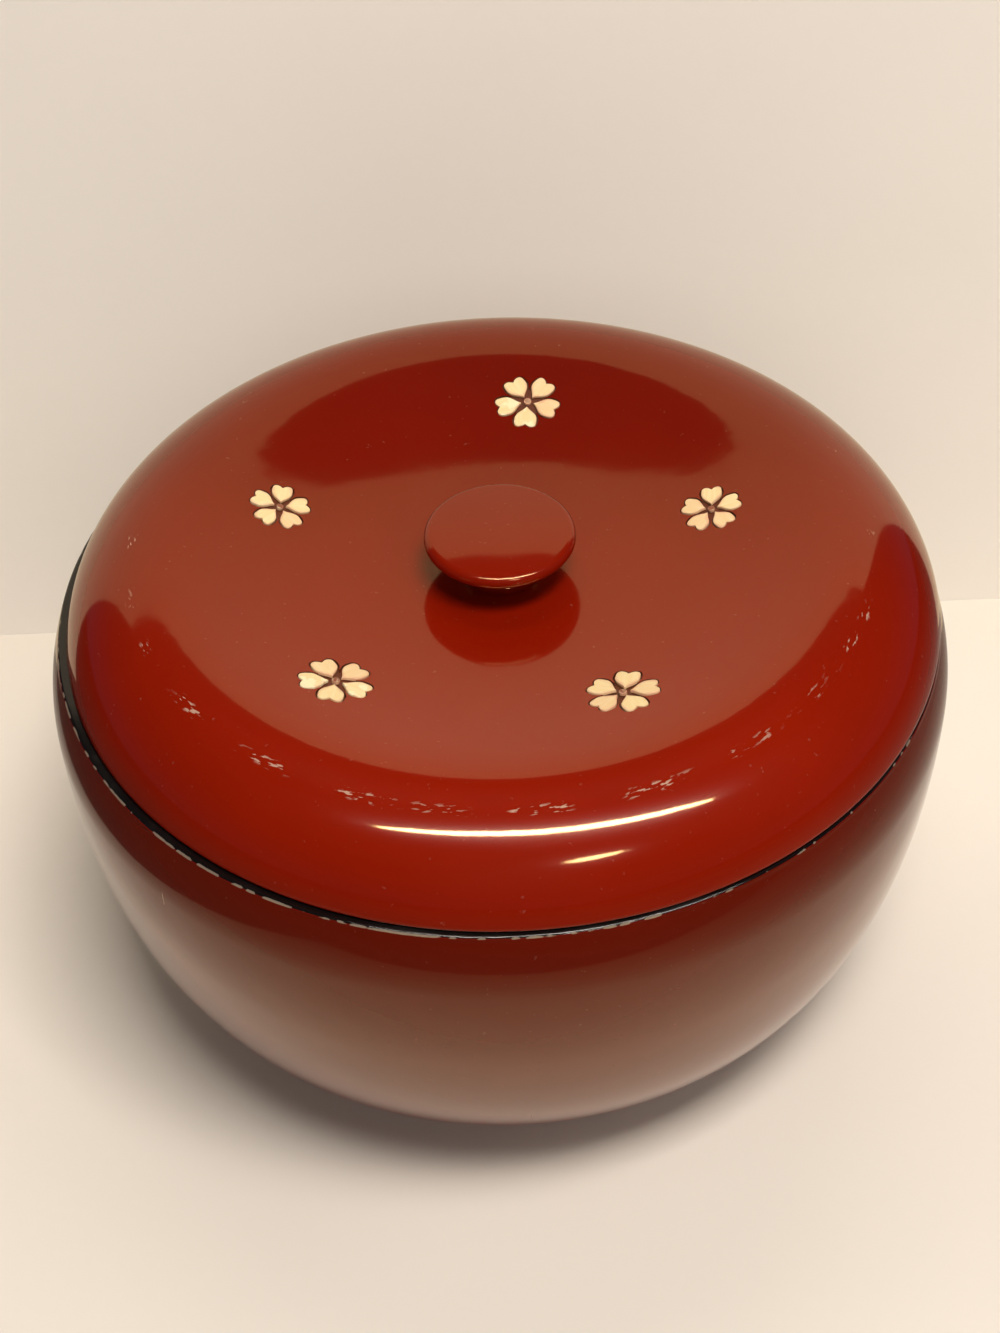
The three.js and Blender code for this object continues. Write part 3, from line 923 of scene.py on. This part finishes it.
def shell_mesh(name, outline, sizes):
    """A plate of shell with a rounded edge, as rings round its middle."""
    top, bottom = sizes.proud, sizes.proud - sizes.thickness
    soft = sizes.edge_round
    # Each ring, from the middle of the bottom to the middle of the top: share of the outline, height.
    levels = (
        (0.0, bottom), (0.5, bottom), (1.0, bottom), (1.0, top - soft), (0.985, top - 0.35 * soft),
        (0.95, top), (0.8, top), (0.6, top), (0.4, top), (0.2, top), (0.0, top),
    )
    centre = sum((Vector(p) for p in outline), Vector((0, 0))) / len(outline)
    count = len(outline)
    vertices, faces, edge = [], [], []
    for scale, height in levels:
        for p in outline:
            x, y = centre + (Vector(p) - centre) * scale
            vertices.append((x, y, height))
            edge.append(scale)
    for level in range(len(levels) - 1):
        for i in range(count):
            low, high, j = level * count, (level + 1) * count, (i + 1) % count
            faces.append((low + i, low + j, high + j, high + i))
    mesh = bpy.data.meshes.new(name)
    mesh.from_pydata(vertices, [], faces)
    store(mesh, "shell_edge", edge)
    return mesh


def store(mesh, name, values):
    """A number for each vertex of a mesh."""
    mesh.attributes.new(name, "FLOAT", "POINT").data.foreach_set("value", values)


def blossom_frame(scene, angle, turn, radius):
    """Place of a blossom: on the lid, square to its surface, turned by its given angle."""
    lid = scene.rice_bowl.lid
    return (
        Matrix.Translation((lid.shift, 0, lid.seat_height))
        @ Matrix.Rotation(math.radians(angle), 4, "Z")
        @ Matrix.Translation((radius, 0, dish_height(lid, radius)))
        @ Matrix.Rotation(-dish_slope(lid, radius), 4, "Y")
        @ Matrix.Rotation(math.radians(turn), 4, "Z")
    )


def pocket_mesh(scene):
    """Cutters for the pockets that the blossoms are let into."""
    sizes = scene.rice_bowl.blossom
    bottom = sizes.proud - sizes.thickness - sizes.bed_gap
    above = 2 * MM
    vertices, faces = [], []

    def prism(outline, place):
        start, count = len(vertices), len(outline)
        for z in (bottom, above):
            vertices.extend(place @ Vector((x, y, z)) for x, y in outline)
        faces.append([start + i for i in reversed(range(count))])
        faces.append([start + count + i for i in range(count)])
        for i in range(count):
            j = (i + 1) % count
            faces.append((start + i, start + j, start + count + j, start + count + i))

    for _, angle, turn, radius, size in BLOSSOMS:
        prism(pocket_outline(sizes, size), blossom_frame(scene, angle, turn, radius))
    mesh = bpy.data.meshes.new("pockets")
    mesh.from_pydata(vertices, [], faces)
    return mesh


# Pieces.


def add_object(name, data, scene):
    """A new object in the scene."""
    made = bpy.data.objects.new(name, data)
    scene.collection.objects.link(made)
    return made


def settle(piece):
    """Turns what a piece's modifiers make into its own plain mesh, without empty material slots."""
    depsgraph = bpy.context.evaluated_depsgraph_get()
    mesh = bpy.data.meshes.new_from_object(piece.evaluated_get(depsgraph))
    for index in reversed(range(len(mesh.materials))):
        if mesh.materials[index] is None:
            mesh.materials.pop(index=index)
    piece.modifiers.clear()
    piece.data = mesh
    return mesh


def run_tree(piece, tree, values):
    """Runs a geometry tree on a piece, with its inputs given by name, and keeps the result."""
    modifier = piece.modifiers.new(tree.name, "NODES")
    modifier.node_group = tree
    for item in tree.interface.items_tree:
        if item.in_out == "INPUT" and item.name in values:
            modifier[item.identifier] = values[item.name]
    return settle(piece)


def turned_piece(name, profile, red, segments, place, scene):
    """A piece turned from a profile, with a red finish on the given steps and black on the others."""
    points, first, last = profile
    mesh = bpy.data.meshes.new(name)
    mesh.from_pydata([(r, 0, z) for r, z in points], [(i, i + 1) for i in range(len(points) - 1)], [])
    piece = add_object(name, mesh, scene)
    mesh = run_tree(piece, once(bpy.data.node_groups, "Turned Form", turned_form), {
        "Segments": segments,
        "Colour From": first,
        "Colour To": last,
        "Colour": finish(red, scene),
        "Lining": finish("black_lacquer", scene),
    })
    mesh.transform(Matrix.Translation(place))
    mesh.set_sharp_from_angle(angle=TURNED_SHARP)
    return piece


def wear_edge(mesh, axis, radius, height, reach, depth, rise, worst, amount):
    """Chips along a circular edge, most of them near one angle, kept as an attribute for the finish."""
    chips = []
    for vertex in mesh.vertices:
        x, y, z = vertex.co.x - axis, vertex.co.y, vertex.co.z
        r = math.hypot(x, y)
        near = 1 - math.hypot(r - radius, z - height) / reach
        if near <= 0:
            chips.append(0.0)
            continue
        patch = noise.noise(Vector((x, y, 0)) * 60)
        nick = noise.noise(Vector((x, y, z)) * 420)
        side = math.cos(math.atan2(y, x) - worst)
        chip = 2.2 * (0.6 * nick + 0.4 * patch + 0.25 * side + amount)
        chip = min(max(chip, 0.0), 1.0) * min(1.6 * near, 1.0)
        chips.append(chip)
        vertex.co += Vector((-x / r, -y / r, rise)) * depth * chip
    store(mesh, "chip", chips)


def shade_lid(mesh, lid, red):
    """Gives the red top of the lid the normals of its true curve, also round the pockets."""
    crest = crest_radius(lid)
    width, height, _ = shoulder_axes(lid)
    normals = [Vector((0, 0, 0))] * len(mesh.loops)
    for face in mesh.polygons:
        if face.material_index != red:
            continue
        for loop in face.loop_indices:
            co = mesh.vertices[mesh.loops[loop].vertex_index].co
            x, y, z = co.x - lid.shift, co.y, co.z - lid.seat_height
            r = math.hypot(x, y)
            # The eased edge and the socket keep the normals of the mesh.
            if z < 2 * lid.edge_round or r < 1.2 * lid.socket_radius:
                continue
            if r < crest:
                out, up = -math.tan(dish_slope(lid, r)), 1.0
            else:
                out, up = (r - crest) / width**2, (z + lid.shoulder_sink) / height**2
            normals[loop] = Vector((out * x / r, out * y / r, up)).normalized()
    mesh.normals_split_custom_set(normals)


def hand_over(piece, body, slot, *nodes):
    """Ties a finished piece to its body and hides the solids that it stands for."""
    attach(piece, body)
    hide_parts(*nodes)


class RICEBOWL_OT_bowl(bpy.types.Operator):
    """Turn the bowl with its foot ring, black rim and worn edge"""

    bl_idname = "ricebowl.bowl"
    bl_label = "Bowl"

    def execute(self, context):
        scene = context.scene
        bowl = scene.rice_bowl.bowl
        piece = turned_piece("bowl", bowl_profile(bowl), "bowl_lacquer", bowl.segments, (0, 0, 0), scene)
        inset = EDGE_MIDDLE * bowl.edge_round
        wear_edge(
            piece.data, axis=0, radius=bowl.rim_radius - inset, height=bowl.height - inset,
            reach=bowl.chip_reach, depth=bowl.chip_depth, rise=-0.6, worst=math.radians(235), amount=0.03,
        )
        hand_over(piece, "bowl", "lacquer", "bowl_body")
        return {"FINISHED"}


class RICEBOWL_OT_lid(bpy.types.Operator):
    """Turn the dished lid and cut the pockets of the blossoms"""

    bl_idname = "ricebowl.lid"
    bl_label = "Lid"

    def execute(self, context):
        scene = context.scene
        lid = scene.rice_bowl.lid
        place = (lid.shift, 0, lid.seat_height)
        piece = turned_piece("lid", lid_profile(lid), "lid_lacquer", lid.segments, place, scene)
        cutter = add_object("pockets", pocket_mesh(scene), scene)
        cutter.data.materials.append(finish("pocket_bed", scene))
        cut = piece.modifiers.new("Pockets", "BOOLEAN")
        cut.operation = "DIFFERENCE"
        cut.solver = "EXACT"
        cut.material_mode = "TRANSFER"
        cut.object = cutter
        mesh = settle(piece)
        bpy.data.objects.remove(cutter)
        inset = EDGE_MIDDLE * lid.edge_round
        wear_edge(
            mesh, axis=lid.shift, radius=lid.edge_radius - inset, height=lid.seat_height + inset,
            reach=lid.chip_reach, depth=lid.chip_depth, rise=0.6, worst=math.radians(240), amount=-0.35,
        )
        mesh.set_sharp_from_angle(angle=TURNED_SHARP)
        shade_lid(mesh, lid, mesh.materials.find("lid_lacquer"))
        hand_over(piece, "lid", "lacquer", "lid_shell")
        return {"FINISHED"}


class RICEBOWL_OT_knob(bpy.types.Operator):
    """Turn the mushroom knob"""

    bl_idname = "ricebowl.knob"
    bl_label = "Knob"

    def execute(self, context):
        scene = context.scene
        knob, lid = scene.rice_bowl.knob, scene.rice_bowl.lid
        place = (lid.shift, 0, lid.seat_height + dish_height(lid, 0))
        piece = turned_piece("lid_knob", knob_profile(knob, lid), "lid_lacquer", knob.segments, place, scene)
        store(piece.data, "chip", [0.0] * len(piece.data.vertices))
        hand_over(piece, "lid", "lacquer", "knob")
        return {"FINISHED"}


class RICEBOWL_OT_blossoms(bpy.types.Operator):
    """Lay the shell petals and eyes of the blossoms in their pockets"""

    bl_idname = "ricebowl.blossoms"
    bl_label = "Blossoms"

    def execute(self, context):
        scene = context.scene
        sizes = scene.rice_bowl.blossom
        for seed, (name, angle, turn, radius, size) in enumerate(BLOSSOMS):
            place = blossom_frame(scene, angle, turn, radius)
            blossom = f"{name}_blossom"
            petals = [f"{blossom}_petal_{k + 1}" for k in range(PETALS)]
            petal = petal_outline(sizes, size, sizes.petal_width)
            eye = disc_outline(sizes.eye_radius * size)
            self.lay(scene, f"{name}_petals", petal, petals, place, seed, "shell_inlay")
            self.lay(scene, f"{name}_eye", eye, [f"{blossom}_eye"], place, seed, "eye_inlay")
        return {"FINISHED"}

    @staticmethod
    def lay(scene, name, outline, nodes, place, seed, inlay):
        sizes = scene.rice_bowl.blossom
        piece = add_object(name, shell_mesh(name, outline, sizes), scene)
        mesh = run_tree(piece, once(bpy.data.node_groups, "Shell Ring", shell_ring), {
            "Count": len(nodes),
            "Tilt": sizes.tilt,
            "Seed": seed,
            "Place": tuple(place.to_translation()),
            "Turn": tuple(place.to_euler()),
            "Shell": finish(inlay, scene),
        })
        mesh.set_sharp_from_angle(angle=SHELL_SHARP)
        hand_over(piece, "lid", "shell", *nodes)


# Stage.


def area_lamp(scene, name, size, place, aim, power, in_gloss):
    """A flat lamp at a place, turned to an aim: an oval seen only in gloss, or a rectangle that lights."""
    light = bpy.data.lights.new(name, "AREA")
    light.shape = "ELLIPSE" if in_gloss else "RECTANGLE"
    light.size, light.size_y = size
    light.energy = power
    light.color = scene.rice_bowl.stage.lamp
    lamp = add_object(name, light, scene)
    lamp.location = place
    lamp.rotation_euler = (Vector(aim) - Vector(place)).to_track_quat("-Z", "Y").to_euler()
    lamp.visible_glossy = in_gloss
    lamp.visible_diffuse = not in_gloss
    lamp.visible_camera = False
    return lamp


def sheet_object(scene, name, corners, rays):
    """A flat sheet of the stage that only some rays meet, facing where its corners run anticlockwise."""
    mesh = bpy.data.meshes.new(name)
    mesh.from_pydata(corners, [], [range(len(corners))])
    mesh.materials.append(finish(name, scene))
    sheet = add_object(name, mesh, scene)
    for kind in RAYS:
        setattr(sheet, f"visible_{kind}", kind in rays)


class RICEBOWL_OT_stage(bpy.types.Operator):
    """Lay the sheets round the bowl and set the lamps, the room and the camera"""

    bl_idname = "ricebowl.stage"
    bl_label = "Stage"

    def execute(self, context):
        scene = context.scene
        stage = scene.rice_bowl.stage
        self.lay_sheets(scene, stage)
        for name, size, place, aim, in_gloss in LAMPS:
            area_lamp(scene, name, size, place, aim, getattr(stage, f"{name}_power"), in_gloss)
        self.light_room(scene, stage)
        self.place_camera(scene, stage)
        return {"FINISHED"}

    @staticmethod
    def lay_sheets(scene, stage):
        """The pale floor, a dark card of painted shade and a board for reflections, and a wall for the
        camera.
        """
        lean = stage.board_lean / stage.board_height

        def level(z):
            return [(-REACH, -REACH, z), (REACH, -REACH, z), (REACH, REACH, z), (-REACH, REACH, z)]

        def upright(start, end, y, height):
            back = y + lean * height
            return [(start, y, 0), (end, y, 0), (end, back, height), (start, back, height)]

        board = upright(-stage.board_left, stage.board_right, stage.board_foot, stage.board_height)
        wall = upright(-REACH, REACH, stage.board_foot + SHEET_GAP, REACH)
        sheet_object(scene, "floor", level(0), RAYS)
        # Only glossy rays meet the card: painted shade on the floor as the lacquer reflects it.
        sheet_object(scene, "card", level(SHEET_GAP), ("glossy",))
        sheet_object(scene, "board", board, ("diffuse", "glossy", "shadow"))
        sheet_object(scene, "backdrop", wall, ("camera", "transmission"))

    @staticmethod
    def light_room(scene, stage):
        """A dim room for light and reflections, and a pale one for the camera."""
        scene.world = bpy.data.worlds.new("room")
        scene.world.use_nodes = True
        r = Recipe(scene.world.node_tree)
        _, _, up = r.separate(r.get("ShaderNodeTexCoord", "Generated"))
        room = r.mix(r.ramp(up, 0.0, 0.6), tuple(stage.horizon), tuple(stage.ceiling))
        ray = r.node("ShaderNodeLightPath")
        seen = Value(r, ray.outputs["Is Camera Ray"]) + Value(r, ray.outputs["Is Transmission Ray"])
        sky = r.mix(seen, room, tuple(stage.backdrop))
        r.tree.links.new(sky.socket, r.tree.nodes["Background"].inputs["Color"])
        scene.view_settings.view_transform = "Standard"

    @staticmethod
    def place_camera(scene, stage):
        """The camera of the photograph."""
        data = bpy.data.cameras.new("camera")
        data.lens = stage.focal_ratio * data.sensor_width
        camera = add_object("camera", data, scene)
        camera.matrix_world = (
            Matrix.Translation((0, -stage.camera_back, stage.camera_height))
            @ Matrix.Rotation(math.pi / 2 - stage.camera_pitch, 4, "X")
            @ Matrix.Rotation(stage.camera_roll, 4, "Z")
        )
        scene.camera = camera


class RICEBOWL_PT_sidebar(bpy.types.Panel):
    """Sizes, colours and the steps of the build"""

    bl_idname = "RICEBOWL_PT_sidebar"
    bl_label = "Lacquer Rice Bowl"
    bl_space_type = "VIEW_3D"
    bl_region_type = "UI"
    bl_category = "Rice Bowl"

    def draw(self, context):
        for step in STEPS:
            self.layout.operator(step.bl_idname)
        for group in ("bowl", "lid", "knob", "blossom", "colours", "stage"):
            box = self.layout.box()
            box.label(text=group.title())
            settings = getattr(context.scene.rice_bowl, group)
            for name in settings.__annotations__:
                box.prop(settings, name)


STEPS = (RICEBOWL_OT_stage, RICEBOWL_OT_bowl, RICEBOWL_OT_lid, RICEBOWL_OT_knob, RICEBOWL_OT_blossoms)
CLASSES = (
    BowlSizes, LidSizes, KnobSizes, BlossomSizes, FinishColours, StageSettings, RiceBowl,
    *STEPS, RICEBOWL_PT_sidebar,
)


def register():
    for each in CLASSES:
        bpy.utils.register_class(each)
    bpy.types.Scene.rice_bowl = PointerProperty(type=RiceBowl)


def unregister():
    del bpy.types.Scene.rice_bowl
    for each in reversed(CLASSES):
        bpy.utils.unregister_class(each)


def main():
    register()
    bpy.ops.ricebowl.stage()
    bpy.ops.ricebowl.bowl()
    bpy.ops.ricebowl.lid()
    bpy.ops.ricebowl.knob()
    bpy.ops.ricebowl.blossoms()


if __name__ == "__main__":
    main()
